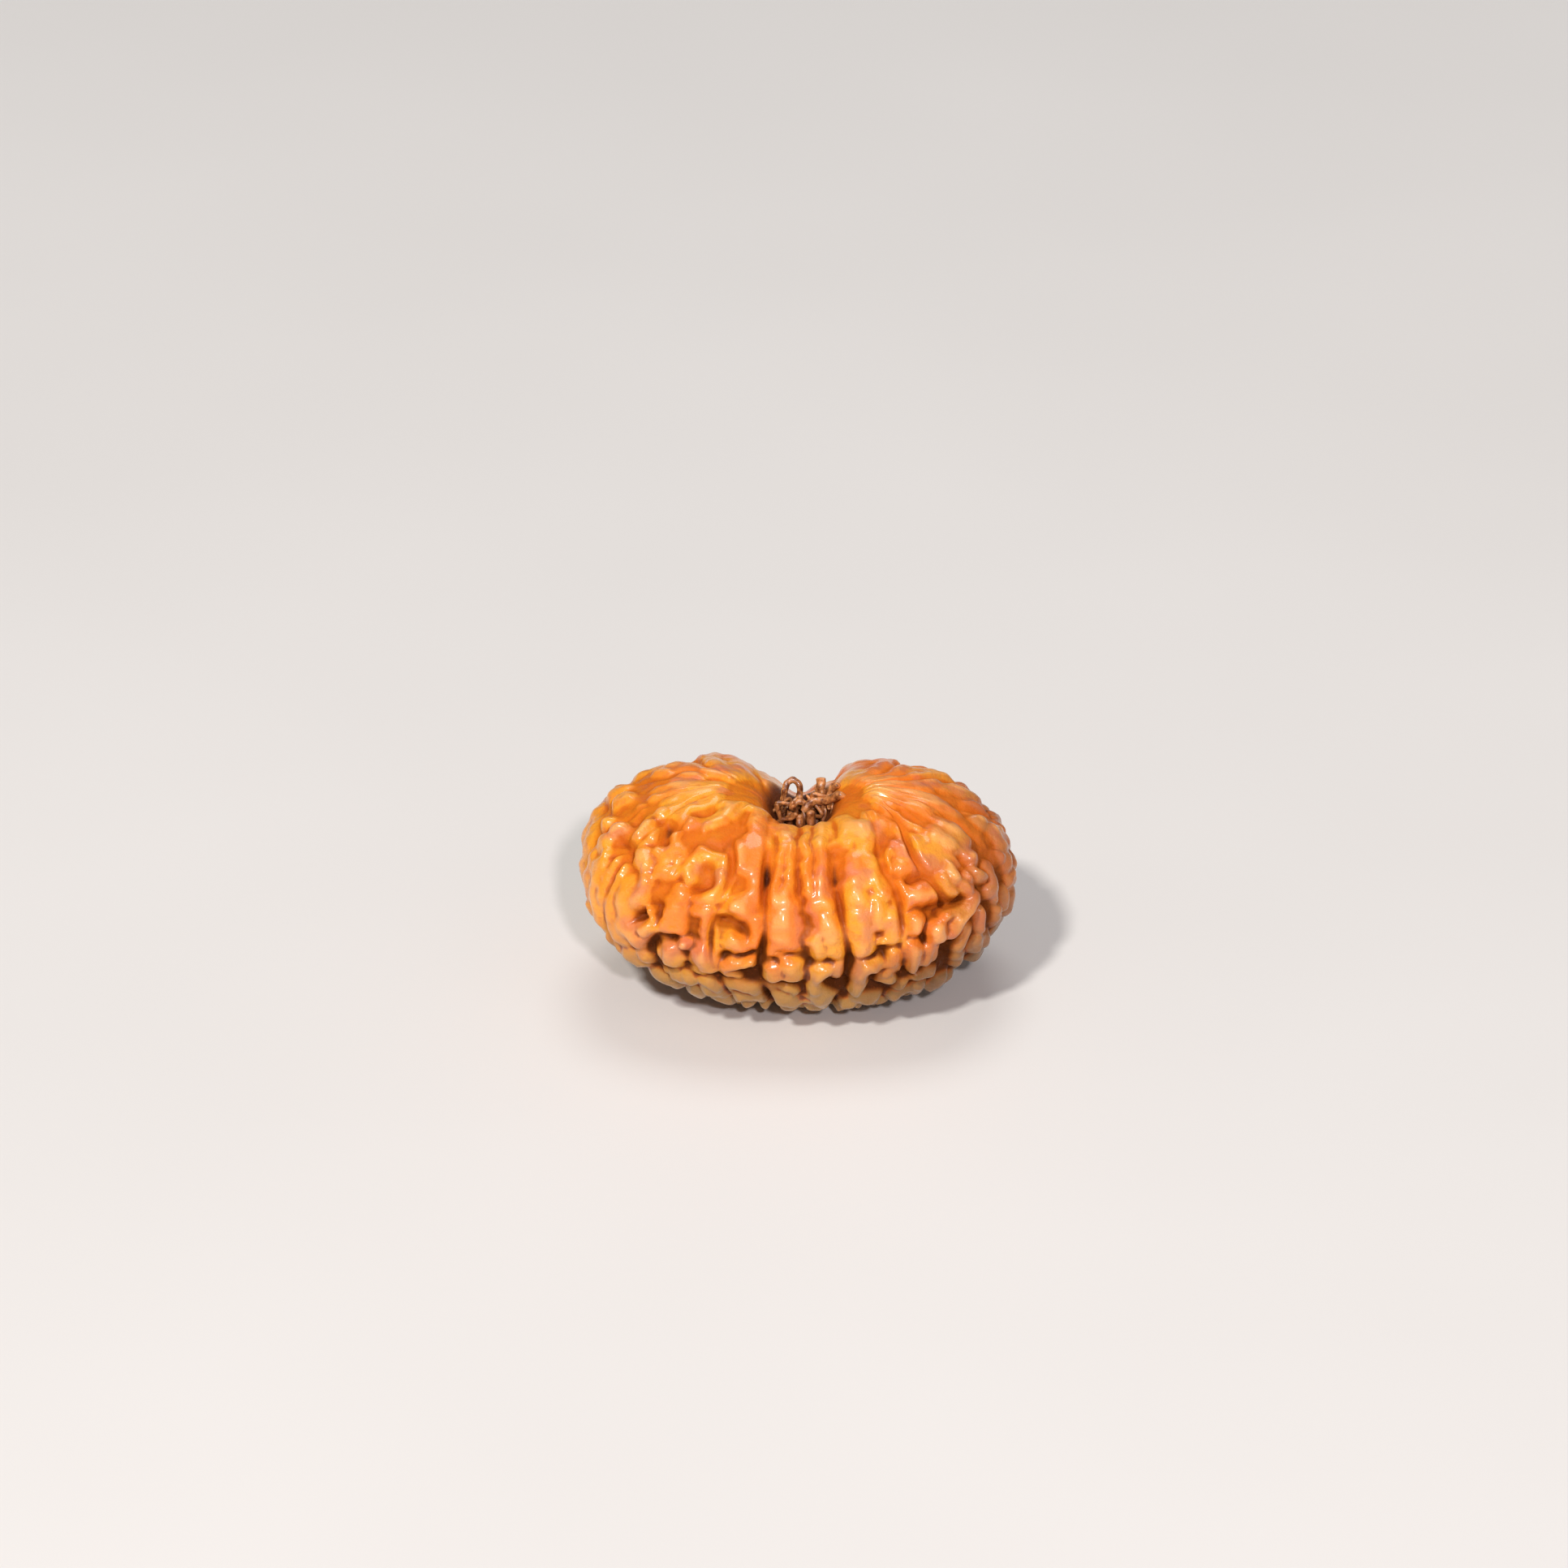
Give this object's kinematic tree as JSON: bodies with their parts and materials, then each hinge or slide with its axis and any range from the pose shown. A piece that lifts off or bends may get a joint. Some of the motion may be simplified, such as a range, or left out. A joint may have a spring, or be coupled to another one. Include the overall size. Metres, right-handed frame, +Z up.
{
  "type": "rudraksha seed stone",
  "caption": "Large flattened rudraksha seed stone with deep clefts from pole to pole, knobbly ridged faces, and a pit with dried fibres at the stalk end.",
  "frame": {"origin": "middle of the stone's box, at the flat spot that it rests on", "axes": "+X along the stone's length, +Y away from the viewer through its depth, +Z up through the stalk end"},
  "size_m": [0.0322, 0.0236, 0.016],
  "materials": {
    "stone": "smooth polished orange-brown seed stone, darker in the clefts"
  },
  "bodies": {
    "root": {"bead": "stone"}
  },
  "joints": []
}
